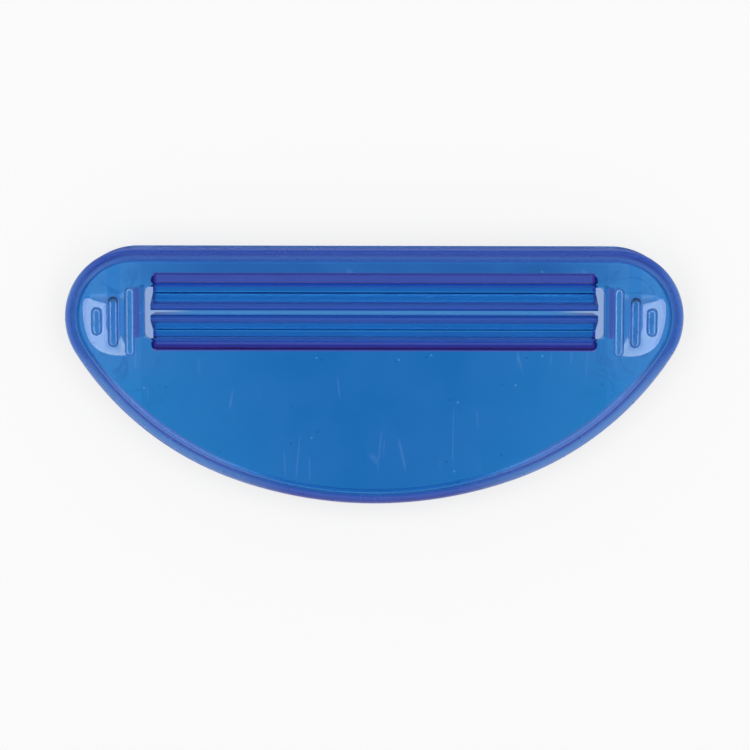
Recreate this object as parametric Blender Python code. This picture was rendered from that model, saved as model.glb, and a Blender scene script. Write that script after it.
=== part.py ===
# Toothpaste tube squeezer, lying on its open rear rim with the face up.
# X runs along the straight edge, Y towards that edge, Z up out of the face.
# The origin is on the surface it rests on, below the middle of its outline.

import math

import bmesh
import bpy
from mathutils import Vector

MM = 0.001

# Overall form
WIDTH = 115.0 * MM
HEIGHT = 48.0 * MM
DEPTH = 11.0 * MM
CORNER_RADIUS = 13.0 * MM
LOWER_ARC_END_DEGREES = 19.8
SIDE_ARC_END_DEGREES = 57.7

# Face shell
FACE_THICKNESS = 2.0 * MM
SKIRT_WALL = 1.6 * MM
SKIRT_DRAFT = 0.3 * MM
EDGE_RADIUS = 2.0 * MM
INNER_FILLET = 1.2 * MM
RIM_ROUND = 0.25 * MM

# Slot and the window that shows it
SLOT_FROM_TOP = 12.1 * MM
SLOT_GAP = 0.85 * MM
WINDOW_END_MARGIN = 15.2 * MM
WINDOW_OVERLAP = 2.25 * MM
WINDOW_CORNER = 1.0 * MM
WINDOW_LEAD = 0.3 * MM
END_RETURN_SETBACK = 0.9 * MM
END_RETURN_WALL = 1.0 * MM
END_RETURN_LIFT = 1.5 * MM

# Squeeze jaws
JAW_END_CLEARANCE = 1.05 * MM
JAW_REACH = 7.0 * MM
JAW_LIFT = 1.0 * MM
JAW_SLOT_WALL = 1.6 * MM
JAW_OUTER_WALL = 1.5 * MM
JAW_WEB = 1.5 * MM
JAW_CORNER = 1.0 * MM
JAW_HOLLOW_FILLET = 0.8 * MM
VALLEY_DROP = 4.9 * MM
VALLEY_FILLET = 1.3 * MM
VALLEY_FLAT = 0.4 * MM
HEEL_ROUND = 0.5 * MM
LIP_CREST_WIDTH = 1.3 * MM
LIP_BASE_WIDTH = 2.7 * MM
LIP_DROP = 0.3 * MM
SEAT_GAP = 0.3 * MM

# Thumb rests
DISH_CENTRE_PAST_WINDOW = 5.7 * MM
DISH_TO_WINDOW_SIDE = 3.6 * MM
DISH_TO_OUTER_SIDE = 6.0 * MM
DISH_TO_UPPER_SIDE = 5.2 * MM
DISH_TO_LOWER_SIDE = 6.4 * MM
DISH_TO_CORNER_SIDE = 6.3 * MM
DISH_CORNER_DEGREES = 38.0
DISH_SQUARENESS = 5.0
DISH_KEEL_ABOVE = 2.8 * MM
DISH_KEEL_BELOW = 0.4 * MM
DISH_CONE_SHARE = 0.85
DISH_DEPTH = 1.6 * MM
DISH_WALL = 1.7 * MM

# Grip ribs, from the one beside the window outward
RIB_DROP_BELOW_SLOT = 1.65 * MM
RIB_PAST_WINDOW = 1.8 * MM
RIB_PITCH = 3.05 * MM
RIB_WIDTH = 1.9 * MM
RIB_PROUD = 0.35 * MM
RIB_ROUND = 0.6 * MM
RIB_LENGTHS = (12.7 * MM, 9.3 * MM, 5.2 * MM)

# Fineness of the mesh and the one overrun of every cut
OUTLINE_FACET = 3.0 * MM
OVERRUN = 1.0 * MM
EDGE_STEPS = 5
FILLET_STEPS = 4
ROUND_STEPS = 4
DISH_RINGS = 12
DISH_SPOKES = 40
JAW_STATIONS = 12

FACE_Z = DEPTH
CEILING_Z = DEPTH - FACE_THICKNESS
SLOT_Y = HEIGHT / 2 - SLOT_FROM_TOP
WINDOW_END = WIDTH / 2 - WINDOW_END_MARGIN
WINDOW_HALF_HEIGHT = JAW_REACH - WINDOW_OVERLAP
JAW_END = WINDOW_END - JAW_END_CLEARANCE
RIB_Y = SLOT_Y - RIB_DROP_BELOW_SLOT
RIB_ROOT_Z = (CEILING_Z + FACE_Z - DISH_DEPTH) / 2


def clear_scene():
    for obj in list(bpy.data.objects):
        bpy.data.objects.remove(obj, do_unlink=True)


def plastic(name, colour, roughness):
    """A clear dyed moulding plastic."""
    material = bpy.data.materials.new(name)
    material.use_nodes = True
    shader = material.node_tree.nodes["Principled BSDF"]
    shader.inputs["Base Color"].default_value = (*colour, 1.0)
    shader.inputs["Roughness"].default_value = roughness
    shader.inputs["Metallic"].default_value = 0.0
    shader.inputs["IOR"].default_value = 1.58
    shader.inputs["Transmission Weight"].default_value = 0.7
    return material


def arc(centre, radius, start, end, steps):
    """Points on an arc, both ends included. Angles are in radians from +X, anticlockwise."""
    points = []
    for k in range(steps + 1):
        angle = start + (end - start) * k / steps
        points.append((centre[0] + radius * math.cos(angle), centre[1] + radius * math.sin(angle)))
    return points


def outline_arcs():
    """Centre, radius and end angles of each arc on the right half: lower, side and corner.

    Each arc is tangent to the next. The radii of the lower and side arcs are the two that
    reach the corner's centre from the bottom of the outline, with the arcs' end angles given."""
    down = -math.pi / 2
    lower_turn = math.radians(LOWER_ARC_END_DEGREES)
    side_turn = math.radians(SIDE_ARC_END_DEGREES)
    across = WIDTH / 2 - CORNER_RADIUS
    rise = HEIGHT - 2 * CORNER_RADIUS
    lower_lift, side_lift = 1 - math.cos(lower_turn), 1 - math.cos(side_turn)
    both = math.sin(lower_turn) * side_lift - math.sin(side_turn) * lower_lift
    lower_more = (across * side_lift - rise * math.sin(side_turn)) / both
    side_more = (rise * math.sin(lower_turn) - across * lower_lift) / both
    side_radius = CORNER_RADIUS + side_more
    lower_radius = side_radius + lower_more
    lower = Vector((0.0, lower_radius - HEIGHT / 2))
    side = lower + Vector((math.sin(lower_turn), -math.cos(lower_turn))) * lower_more
    corner = Vector((across, HEIGHT / 2 - CORNER_RADIUS))
    return (
        (lower, lower_radius, down, down + lower_turn),
        (side, side_radius, down + lower_turn, down + side_turn),
        (corner, CORNER_RADIUS, down + side_turn, 0.0),
        (corner, CORNER_RADIUS, 0.0, math.pi / 2),
    )


def outline(inset):
    """The D outline moved inward, anticlockwise from the middle of the lower arc."""
    right = []
    for centre, radius, start, end in outline_arcs():
        steps = max(2, math.ceil(radius * (end - start) / OUTLINE_FACET))
        right += arc(centre, radius - inset, start, end, steps)[:-1]
    top_x, top_y = WIDTH / 2 - CORNER_RADIUS, HEIGHT / 2 - inset
    steps = math.ceil(top_x / OUTLINE_FACET)
    right += [(top_x * (steps - k) / steps, top_y) for k in range(steps)]
    left = [(-x, y) for x, y in reversed(right[1:])]
    return right + [(0.0, top_y)] + left


def stadium(length, width, steps):
    """A slot shape that stands along Y, centred on zero."""
    radius = width / 2
    straight = (length - width) / 2
    upper = arc((0.0, straight), radius, 0.0, math.pi, steps)
    lower = arc((0.0, -straight), radius, math.pi, 2 * math.pi, steps)
    return upper + lower


def rounded_rectangle(length, height, radius, steps):
    """A rectangle with round corners, centred on zero."""
    x, y = length / 2 - radius, height / 2 - radius
    quarter = math.pi / 2
    points = []
    for turn, centre in enumerate(((x, y), (-x, y), (-x, -y), (x, -y))):
        points += arc(centre, radius, turn * quarter, (turn + 1) * quarter, steps)
    return points


def join_rings(mesh, low, high):
    """A band of faces between two rings of equal count."""
    for k in range(len(low)):
        after = (k + 1) % len(low)
        mesh.faces.new((low[k], low[after], high[after], high[k]))


def loft(name, loops):
    """A closed solid through loops of equal count."""
    mesh = bmesh.new()
    rings = [[mesh.verts.new(point) for point in loop] for loop in loops]
    for low, high in zip(rings, rings[1:]):
        join_rings(mesh, low, high)
    mesh.faces.new(list(reversed(rings[0])))
    mesh.faces.new(rings[-1])
    bmesh.ops.recalc_face_normals(mesh, faces=mesh.faces)
    return to_object(name, mesh)


def to_object(name, mesh):
    data = bpy.data.meshes.new(name)
    mesh.to_mesh(data)
    mesh.free()
    obj = bpy.data.objects.new(name, data)
    bpy.context.scene.collection.objects.link(obj)
    return obj


def side_name(side):
    return "right" if side > 0 else "left"


def guide(obj):
    """Marks an object as a tool that shapes another one."""
    obj.hide_render = True
    obj.display_type = "WIRE"
    return obj


def boolean(obj, tool, operation):
    modifier = obj.modifiers.new(tool.name, "BOOLEAN")
    modifier.object = tool
    modifier.operation = operation
    modifier.solver = "EXACT"


def finish(obj, material, sharp_degrees):
    obj.data.materials.append(material)
    obj.data.shade_smooth()
    obj.data.set_sharp_from_angle(angle=math.radians(sharp_degrees))


def shell_section():
    """Inset and height up the outside of the skirt, over the edge, and back down the inside."""
    outside = arc((RIM_ROUND, RIM_ROUND), RIM_ROUND, 1.5 * math.pi, math.pi, FILLET_STEPS)
    centre = (SKIRT_DRAFT + EDGE_RADIUS, FACE_Z - EDGE_RADIUS)
    outside += arc(centre, EDGE_RADIUS, math.pi, math.pi / 2, EDGE_STEPS)
    root = (SKIRT_DRAFT + SKIRT_WALL + INNER_FILLET, CEILING_Z - INNER_FILLET)
    inside = arc(root, INNER_FILLET, math.pi / 2, math.pi, FILLET_STEPS)
    inside += arc((SKIRT_WALL - RIM_ROUND, RIM_ROUND), RIM_ROUND, 0.0, -math.pi / 2, FILLET_STEPS)
    return outside, inside


def shell_blank():
    """The D shaped cup: face, round edge and skirt, open at the rear."""
    outside, inside = shell_section()
    mesh = bmesh.new()

    def ring(inset, height):
        return [mesh.verts.new((x, y, height)) for x, y in outline(inset)]

    rings = [ring(inset, height) for inset, height in outside + inside]
    face_ring, ceiling_ring = len(outside) - 1, len(outside)
    for index, low in enumerate(rings):
        if index == face_ring:
            continue
        join_rings(mesh, low, rings[(index + 1) % len(rings)])
    mesh.faces.new(rings[face_ring])
    mesh.faces.new(rings[ceiling_ring])
    bmesh.ops.recalc_face_normals(mesh, faces=mesh.faces)
    return to_object("face_shell", mesh)


def window_cutter():
    """Cuts the window through the face, with a small lead round its front edge."""
    sections = (
        (0.0, CEILING_Z - OVERRUN),
        (0.0, FACE_Z - WINDOW_LEAD),
        (WINDOW_LEAD, FACE_Z),
        (WINDOW_LEAD, FACE_Z + OVERRUN),
    )
    loops = []
    for grow, height in sections:
        length, height_across = 2 * (WINDOW_END + grow), 2 * (WINDOW_HALF_HEIGHT + grow)
        shape = rounded_rectangle(length, height_across, WINDOW_CORNER + grow, ROUND_STEPS)
        loops.append([(x, y + SLOT_Y, height) for x, y in shape])
    return guide(loft("window_cutter", loops))


def dish_reach(angle):
    """Distance from a thumb rest's centre to its rim, on the right: a rounded five-sided shape."""
    corner = -math.radians(DISH_CORNER_DEGREES)
    sides = (
        (0.0, DISH_TO_OUTER_SIDE),
        (math.pi / 2, DISH_TO_UPPER_SIDE),
        (math.pi, DISH_TO_WINDOW_SIDE),
        (-math.pi / 2, DISH_TO_LOWER_SIDE),
        (corner, DISH_TO_CORNER_SIDE),
    )
    closeness = 0.0
    for direction, distance in sides:
        closeness += (max(math.cos(angle - direction), 0.0) / distance) ** DISH_SQUARENESS
    return closeness ** (-1 / DISH_SQUARENESS)


def dish_rings(side, level):
    """Loops of a thumb rest's hollow, from its keel, the lowest line, out to its rim at a level."""
    centre = side * (WINDOW_END + DISH_CENTRE_PAST_WINDOW)
    loops = []
    for ring in range(1, DISH_RINGS + 1):
        share = ring / DISH_RINGS
        bowl = (1 + math.cos(math.pi * share)) / 2
        sink = DISH_DEPTH * (DISH_CONE_SHARE * (1 - share) + (1 - DISH_CONE_SHARE) * bowl)
        loop = []
        for k in range(DISH_SPOKES):
            angle = 2 * math.pi * k / DISH_SPOKES
            reach = dish_reach(angle)
            rim = reach * math.sin(angle)
            keel = min(max(rim, -DISH_KEEL_BELOW), DISH_KEEL_ABOVE)
            x = centre + side * share * reach * math.cos(angle)
            loop.append((x, RIB_Y + keel + share * (rim - keel), level - sink))
        loops.append(loop)
    return loops


def dish_backing(side):
    """The bulge behind a thumb rest, which keeps the wall even there."""
    loops = dish_rings(side, FACE_Z - DISH_WALL)
    loops.append([(x, y, RIB_ROOT_Z) for x, y, z in loops[-1]])
    return guide(loft("dish_backing_" + side_name(side), loops))


def dish_cutter(side):
    """Hollows a thumb rest out of the face."""
    loops = dish_rings(side, FACE_Z)
    loops.append([(x, y, FACE_Z + OVERRUN) for x, y, z in loops[-1]])
    return guide(loft("dish_cutter_" + side_name(side), loops))


def grip_rib(side, index):
    """One raised rib with round ends and a round top."""
    x_middle = side * (WINDOW_END + RIB_PAST_WINDOW + RIB_WIDTH / 2 + index * RIB_PITCH)
    length = RIB_LENGTHS[index]
    top = FACE_Z + RIB_PROUD
    levels = [(0.0, RIB_ROOT_Z)]
    levels += arc((RIB_ROUND, top - RIB_ROUND), RIB_ROUND, math.pi, math.pi / 2, ROUND_STEPS)
    loops = []
    for inset, height in levels:
        shape = stadium(length - 2 * inset, RIB_WIDTH - 2 * inset, 2 * ROUND_STEPS)
        loops.append([(x + x_middle, y + RIB_Y, height) for x, y in shape])
    return guide(loft("rib_" + side_name(side) + "_" + str(index + 1), loops))


def end_return(side):
    """The wall that runs back from the face, a little outside the short end of the window."""
    middle = side * (WINDOW_END + END_RETURN_SETBACK + END_RETURN_WALL / 2)
    corner = END_RETURN_WALL / 2 - RIM_ROUND
    shape = rounded_rectangle(END_RETURN_WALL, 2 * WINDOW_HALF_HEIGHT, corner, ROUND_STEPS)
    heights = (END_RETURN_LIFT, CEILING_Z + FACE_THICKNESS / 2)
    loops = [[(x + middle, y + SLOT_Y, height) for x, y in shape] for height in heights]
    return guide(loft("end_return_" + side_name(side), loops))


def make_face_shell(material):
    shell = shell_blank()
    for side in (-1, 1):
        boolean(shell, dish_backing(side), "UNION")
        boolean(shell, dish_cutter(side), "DIFFERENCE")
        boolean(shell, end_return(side), "UNION")
        for index in range(len(RIB_LENGTHS)):
            boolean(shell, grip_rib(side, index), "UNION")
    boolean(shell, window_cutter(), "DIFFERENCE")
    finish(shell, material, 35.0)
    return shell


def jaw_section():
    """Reach from the slot's middle and height, once round the section of a jaw.

    A wall at the slot and one further out stand on edge, and a web joins them under the valley."""
    slot = SLOT_GAP / 2
    heel = JAW_LIFT
    wall_top = CEILING_Z - SEAT_GAP
    wall_in = JAW_REACH - JAW_OUTER_WALL
    crest = FACE_Z - LIP_DROP
    crest_radius = LIP_CREST_WIDTH / 2
    floor = crest - VALLEY_DROP
    lip_out = slot + LIP_BASE_WIDTH
    fillet = min(VALLEY_FILLET, (wall_in - lip_out - VALLEY_FLAT) / 2)
    hollow_in = slot + JAW_SLOT_WALL
    hollow_top = floor - JAW_WEB
    corner = JAW_HOLLOW_FILLET
    quarter = math.pi / 2
    points = [(slot, heel), (hollow_in, heel)]
    points += arc((hollow_in + corner, hollow_top - corner), corner, math.pi, quarter, ROUND_STEPS)
    points += arc((wall_in - corner, hollow_top - corner), corner, quarter, 0.0, ROUND_STEPS)
    points += [(wall_in, heel)]
    points += arc((JAW_REACH - HEEL_ROUND, heel + HEEL_ROUND), HEEL_ROUND, -quarter, 0.0, ROUND_STEPS)
    points += [(JAW_REACH, wall_top), (wall_in, wall_top)]
    points += arc((wall_in - fillet, floor + fillet), fillet, 0.0, -quarter, ROUND_STEPS)
    points += arc((lip_out + fillet, floor + fillet), fillet, 3 * quarter, math.pi, ROUND_STEPS)
    points += arc((slot + crest_radius, crest - crest_radius), crest_radius, 0.0, math.pi, 2 * ROUND_STEPS)
    return points


def make_jaw(name, side, material):
    """A bar with a valley along it, whose inner lip is one side of the slot."""
    section = [(SLOT_Y + side * reach, height) for reach, height in jaw_section()]
    stations = [JAW_END * (2 * k / JAW_STATIONS - 1) for k in range(JAW_STATIONS + 1)]
    jaw = loft(name, [[(x, y, z) for y, z in section] for x in stations])
    mesh = bmesh.new()
    mesh.from_mesh(jaw.data)
    outer = SLOT_Y + side * JAW_REACH
    near = SEAT_GAP / 10
    corners = []
    for edge in mesh.edges:
        ends = [vertex.co for vertex in edge.verts]
        on_end = all(abs(abs(end.x) - JAW_END) < near for end in ends)
        if on_end and all(abs(end.y - outer) < near for end in ends):
            corners.append(edge)
    bmesh.ops.bevel(mesh, geom=corners, offset=JAW_CORNER, segments=ROUND_STEPS, profile=0.5, affect="EDGES")
    bmesh.ops.recalc_face_normals(mesh, faces=mesh.faces)
    mesh.to_mesh(jaw.data)
    mesh.free()
    finish(jaw, material, 35.0)
    return jaw


def main():
    clear_scene()
    face_blue = plastic("face_blue", (0.02, 0.13, 0.45), 0.12)
    jaw_blue = plastic("jaw_blue", (0.03, 0.09, 0.38), 0.15)
    make_face_shell(face_blue)
    make_jaw("upper_jaw", 1, jaw_blue)
    make_jaw("lower_jaw", -1, jaw_blue)


main()
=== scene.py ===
# Looks of a toothpaste tube squeezer: clear blue plastic, lying face up on a white table.
# X runs along the straight edge, Y towards that edge, Z up out of the face, in metres.

import math

import bmesh
import bpy
from mathutils import Matrix, Vector


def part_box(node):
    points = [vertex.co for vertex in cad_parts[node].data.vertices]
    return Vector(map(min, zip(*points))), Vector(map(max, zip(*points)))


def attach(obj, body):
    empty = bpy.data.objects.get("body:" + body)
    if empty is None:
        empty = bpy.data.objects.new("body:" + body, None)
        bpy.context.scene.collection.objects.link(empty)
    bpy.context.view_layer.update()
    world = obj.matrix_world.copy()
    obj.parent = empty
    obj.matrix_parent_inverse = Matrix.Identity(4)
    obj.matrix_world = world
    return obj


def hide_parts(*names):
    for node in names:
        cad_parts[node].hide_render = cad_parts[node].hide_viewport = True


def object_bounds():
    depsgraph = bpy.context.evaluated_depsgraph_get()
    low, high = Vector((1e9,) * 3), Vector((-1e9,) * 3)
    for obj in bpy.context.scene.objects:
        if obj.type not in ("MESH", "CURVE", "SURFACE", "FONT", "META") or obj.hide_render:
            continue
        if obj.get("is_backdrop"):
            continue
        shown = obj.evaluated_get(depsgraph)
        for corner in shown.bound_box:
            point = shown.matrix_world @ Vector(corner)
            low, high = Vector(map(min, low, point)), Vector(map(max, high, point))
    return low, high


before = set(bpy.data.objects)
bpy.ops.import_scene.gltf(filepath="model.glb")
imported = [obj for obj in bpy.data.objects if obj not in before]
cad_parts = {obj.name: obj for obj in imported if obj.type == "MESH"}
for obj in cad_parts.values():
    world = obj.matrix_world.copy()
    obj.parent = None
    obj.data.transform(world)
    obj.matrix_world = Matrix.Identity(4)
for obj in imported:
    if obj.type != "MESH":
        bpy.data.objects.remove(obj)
cad_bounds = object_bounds()

MM = 0.001

# Sizes of the whole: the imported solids' boxes, and how far the ribs stand proud of the face
SHELL_LOW, SHELL_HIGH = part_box("face_shell")
RIB_PROUD = 0.35 * MM
WIDTH = SHELL_HIGH.x - SHELL_LOW.x
HEIGHT = SHELL_HIGH.y - SHELL_LOW.y
FACE_Z = SHELL_HIGH.z - RIB_PROUD
JAW_LOW, JAW_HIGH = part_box("upper_jaw")
JAW_END = JAW_HIGH.x

# Outline
CORNER_RADIUS = 13.0 * MM
LOWER_ARC_END_DEGREES = 19.8
SIDE_ARC_END_DEGREES = 57.7

# Section of the face shell
FACE_THICKNESS = 2.0 * MM
SKIRT_WALL = 1.6 * MM
SKIRT_DRAFT = 0.3 * MM
EDGE_RADIUS = 2.0 * MM
INNER_FILLET = 1.2 * MM
RIM_ROUND = 0.25 * MM
CEILING_Z = FACE_Z - FACE_THICKNESS
SKIRT_TOP_Z = FACE_Z - EDGE_RADIUS

# Slot and the window that shows it
SLOT_FROM_TOP = 12.1 * MM
SLOT_GAP = 0.85 * MM
SLOT_Y = HEIGHT / 2 - SLOT_FROM_TOP
WINDOW_END = WIDTH / 2 - 15.2 * MM
WINDOW_HALF_HEIGHT = 4.75 * MM
WINDOW_CORNER = 1.0 * MM
WINDOW_LEAD = 0.3 * MM
END_RETURN_SETBACK = 0.9 * MM
END_RETURN_WALL = 1.0 * MM
END_RETURN_LIFT = 1.5 * MM

# Squeeze jaws
JAW_REACH = 7.0 * MM
JAW_LIFT = JAW_LOW.z
JAW_SLOT_WALL = 1.6 * MM
JAW_OUTER_WALL = 1.5 * MM
JAW_WEB = 1.5 * MM
JAW_CORNER = 1.0 * MM
JAW_HOLLOW_FILLET = 0.8 * MM
VALLEY_FILLET = 0.98 * MM
HEEL_ROUND = 0.5 * MM
LIP_CREST_WIDTH = 1.3 * MM
LIP_BASE_WIDTH = 2.7 * MM
LIP_CREST_Z = JAW_HIGH.z
VALLEY_Z = LIP_CREST_Z - 4.9 * MM
OUTER_WALL_TOP_Z = CEILING_Z - 0.3 * MM

# Thumb rests
DISH_CENTRE = WINDOW_END + 5.7 * MM
DISH_TO_WINDOW_SIDE = 3.6 * MM
DISH_TO_OUTER_SIDE = 6.0 * MM
DISH_TO_UPPER_SIDE = 5.2 * MM
DISH_TO_LOWER_SIDE = 6.4 * MM
DISH_TO_CORNER_SIDE = 6.3 * MM
DISH_CORNER_DEGREES = 38.0
DISH_SQUARENESS = 5.0
DISH_KEEL_ABOVE = 2.8 * MM
DISH_KEEL_BELOW = 0.4 * MM
DISH_CONE_SHARE = 0.85
DISH_DEPTH = 1.6 * MM
DISH_WALL = 1.7 * MM

# Grip ribs, from the one beside the window outward
RIB_Y = SLOT_Y - 1.65 * MM
RIB_PAST_WINDOW = 1.8 * MM
RIB_PITCH = 3.05 * MM
RIB_WIDTH = 1.9 * MM
RIB_X = WINDOW_END + RIB_PAST_WINDOW + RIB_WIDTH / 2
RIB_ROUND = 0.6 * MM
RIB_ROOT_Z = (CEILING_Z + FACE_Z - DISH_DEPTH) / 2
RIB_LENGTHS = (12.7 * MM, 9.3 * MM, 5.2 * MM)

# Fineness of the meshes
OUTLINE_FACET = 0.6 * MM
OVERRUN = 1.0 * MM
EDGE_STEPS = 14
FILLET_STEPS = 8
ROUND_STEPS = 7
DISH_RINGS = 22
DISH_SPOKES = 96
JAW_STATIONS = 40
TINY = 0.01 * MM
SHARP_DEGREES = 35.0
FLAT_FACE_WEIGHT = 100

# Camera: it looks down on the face from a little towards the straight edge
PHOTO_SIZE = 750
PHOTO_CENTRE_PX = (374.2, 377.6)
PHOTO_PX_PER_MM = 5.42
CAMERA_DISTANCE = 0.40
CAMERA_TILT_DEGREES = 5.0
CAMERA_ROLL_DEGREES = 0.12
SENSOR_WIDTH = 36.0
CAMERA_NEAREST = 0.01
CAMERA_FARTHEST = 20.0

# Studio
SOFTBOX_RADIANCE = 4.5
SOFTBOX_HEIGHT = 0.9
SIDE_SOFTBOX_X = 0.38
SIDE_SOFTBOX_SIZE = (0.38, 1.0)
TOP_SOFTBOX_Y = 0.27
TOP_SOFTBOX_SIZE = (0.37, 0.36)
WHITE = (1.0, 1.0, 1.0, 1.0)
SKY_PALE = (0.85, 0.85, 0.85, 1.0)
SKY_DIM = (0.10, 0.10, 0.10, 1.0)

# From here on, a pair of numbers is a fade: where a tone or share is nothing, then where it is full.
# One whose name ends in UP goes by the upward part of a direction, which is one straight up.
SKY_DIM_UP = (0.35, 0.95)

# Table: its size, its colours, and where they change. Its blues are painted: blue light under the window,
# and a deep blue shade beside the object that only mirror images show
TABLE_HALF = 3.0
TABLE_DROP = 0.02 * MM
TABLE_PAPER = (0.95, 0.95, 0.95, 1.0)
TABLE_GLOW = (0.86, 0.86, 0.86, 1.0)
TABLE_GLOW_SHARE = 0.8
TABLE_PAINTED_LIGHT_UNDER_ENDS = (0.27, 0.40, 0.68, 1.0)
TABLE_PAINTED_LIGHT_UNDER_SLOT = (0.057, 0.208, 0.52, 1.0)
TABLE_PAINTED_LIGHT_MIRRORED_UNDER_SLOT = (0.12, 0.50, 1.0, 1.0)
TABLE_PAINTED_SHADE_MIRRORED_BESIDE = (0.02, 0.06, 0.32, 1.0)
UNDER_WINDOW_ALONG = (WINDOW_END + 5.0 * MM, WINDOW_END + 2.0 * MM)
UNDER_WINDOW_FROM_SLOT = (JAW_REACH + 4.0 * MM, JAW_REACH)
UNDER_ENDS_ALONG = (JAW_END - 8.0 * MM, JAW_END)
BESIDE_ALONG = (WIDTH / 2 + 6.0 * MM, WIDTH / 2 + 3.0 * MM)
BESIDE_ACROSS = (HEIGHT / 2 + 6.0 * MM, HEIGHT / 2 + 3.0 * MM)

# Clear plastic: how it bends and mirrors light, with a faint haze and slow waves in its gloss
REFRACTIVE_INDEX = 1.58
DAMPED_MIRROR = (0.04, 0.04, 0.04, 1.0)
LAYER_BLEND = 0.5
LOW_ANGLE = (0.5, 0.8)
LEVEL_UP = (0.5, 0.8)
STEEP_UP = (0.97, 0.35)
GLOSS_SCALE = 700.0
GLOSS_DETAIL = 4.0
LEAST_ROUGHNESS = 0.01
MOST_ROUGHNESS = 0.05
WAVE_SCALE = 160.0
WAVE_DETAIL = 1.0
WAVE_STRENGTH = 0.03
WAVE_HEIGHT = 0.4 * MM
SOFT_EDGE = 0.1 * MM

# Clouds in the plastic
CLOUD_DETAIL = 3.0
CLOUD_FADE = (0.3, 0.7)
FACE_CLOUD_SCALE = 90.0
FACE_CLOUD_SHARE = 0.3
JAW_CLOUD_SCALE = 110.0

# Tones of the level face
FACE_BLUE = (0.008, 0.155, 0.49, 1.0)
FACE_SIDE_BLUE = (0.016, 0.205, 0.565, 1.0)
FACE_TOP_BLUE = (0.018, 0.122, 0.42, 1.0)
FACE_END_BLUE = (0.036, 0.210, 0.57, 1.0)
FACE_CLOUD = (0.030, 0.190, 0.58, 1.0)
FACE_SIDE_SLANT = 0.4
FACE_SIDE_OUTWARD = (10.0 * MM, 50.0 * MM)
FACE_TOP_ACROSS = (SLOT_Y + 4.0 * MM, SLOT_Y + 8.0 * MM)
FACE_END_ALONG = (0.25 * WIDTH, 0.45 * WIDTH)
FACE_END_ACROSS = (-3.0 * MM, 4.0 * MM)

# Marks on the level face: painted shade lines where slight sinks bend the light, hair scratches and specks
MARK_SHARE = 0.8
MARK_UP = (0.98, 0.999)
MARK_HEIGHT = (FACE_Z - 0.2 * MM, FACE_Z - 0.1 * MM)
MARK_FROM_EDGE = (3.6 * MM, 4.6 * MM)
SINK_SHADE_BLUE = (0.006, 0.060, 0.30, 1.0)
WISP_SCALE = 75.0
WISP_DETAIL = 5.0
WISP_DISTORTION = 2.2
WISP_MIDDLE = 0.5
WISP_RIDGE = (0.035, 0.0)
WISP_ALONG = (0.30 * WIDTH, 0.42 * WIDTH)
WISP_SHARE = 0.5
SCRATCH_PALE = (0.14, 0.26, 0.66, 1.0)
SCRATCH_STRETCH = (1.0, 0.12, 1.0)
SCRATCH_DETAIL = 1.0
SCRATCH_CHANCE = (0.56, 0.66)
SCRATCH_CORE = 0.3
SPECK_DARK = (0.006, 0.05, 0.25, 1.0)
SPECK_PALE = (0.45, 0.55, 0.85, 1.0)
SPECK_CORE = 0.6
SPECK_STEP = 0.01

# Each set of scratches: its turn in radians, its scale, and a scratch's width as a share of a cell
SCRATCHES = (
    (1.35, 120.0, 0.016),
    (0.3, 90.0, 0.014),
)

# Each set of specks: its scale, a speck's size as a share of a cell, the share of bare cells, its colour
SPECKS = (
    (210.0, 0.050, 0.72, SPECK_DARK),
    (190.0, 0.045, 0.80, SPECK_PALE),
)

# The face over the jaws: a painted lighter strip beside each outer wall, painted violet shade over it, and
# painted shade past it in the upper half
FACE_PAINTED_LIGHT_BY_WALL = (0.12, 0.45, 0.95, 1.0)
FACE_PAINTED_SHADE_OVER_WALL = (0.42, 0.28, 0.66, 1.0)
FACE_PAINTED_SHADE_OVER_LOW_WALL = (0.184, 0.089, 0.445, 1.0)
FACE_PAINTED_SHADE_OVER_WALL_END = (0.30, 0.130, 0.50, 1.0)
FACE_PAINTED_SHADE_PAST_WALL = (0.07, 0.090, 0.45, 1.0)
BY_WALL_START = WINDOW_HALF_HEIGHT + 0.1 * MM
OVER_WALL_START = JAW_REACH - JAW_OUTER_WALL - 0.1 * MM
PAST_WALL_END = JAW_REACH + 0.35 * MM
PAST_WALL_SOFT_EDGE = 0.05 * MM
JAW_LONG_ALONG = (JAW_END - 0.2 * MM, JAW_END - 1.0 * MM)
WALL_END_ALONG = (JAW_END - 1.1 * MM, JAW_END - 0.9 * MM)
LOW_WALL_ACROSS = (SLOT_Y - OVER_WALL_START - 0.3 * MM, SLOT_Y - OVER_WALL_START - 0.6 * MM)
UPPER_HALF_ACROSS = (SLOT_Y, SLOT_Y + 1.0 * MM)

# The shell's own walls, with painted violet shade on the steep ones and painted light beside the jaws'
# ends, and painted violet shade on the face over the ones outside the window's ends
FACE_PAINTED_SHADE_VIOLET = (0.12, 0.15, 0.50, 1.0)
FACE_PAINTED_SHADE_OVER_END = (0.10, 0.07, 0.34, 1.0)
END_WALL_SIDE_PAINTED_LIGHT = (0.5, 0.6, 0.9, 1.0)
OVER_END_SOFT_EDGE = 0.08 * MM
OVER_END_FROM_SLOT = (WINDOW_HALF_HEIGHT, WINDOW_HALF_HEIGHT - 0.2 * MM)
BELOW_FACE_HEIGHT = (CEILING_Z + 0.2 * MM, CEILING_Z - 0.2 * MM)
END_WALL_SIDE_LIMIT = RIB_X - RIB_WIDTH / 4

# Grip ribs: painted shade on their rounded edges and painted light on their walls
RIB_EDGE_PAINTED_SHADE = (0.03, 0.050, 0.34, 1.0)
RIB_WALL_PAINTED_LIGHT = (0.35, 0.50, 0.85, 1.0)
RIBS_START = RIB_X - RIB_WIDTH
RIBS_END = RIB_X + 2 * RIB_PITCH + RIB_WIDTH
RIBS_HEIGHT = (CEILING_Z, CEILING_Z + 0.3 * MM)
RIB_EDGE_UP = (0.90, 0.60)
RIB_WALL_UP = (0.35, 0.10)
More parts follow.
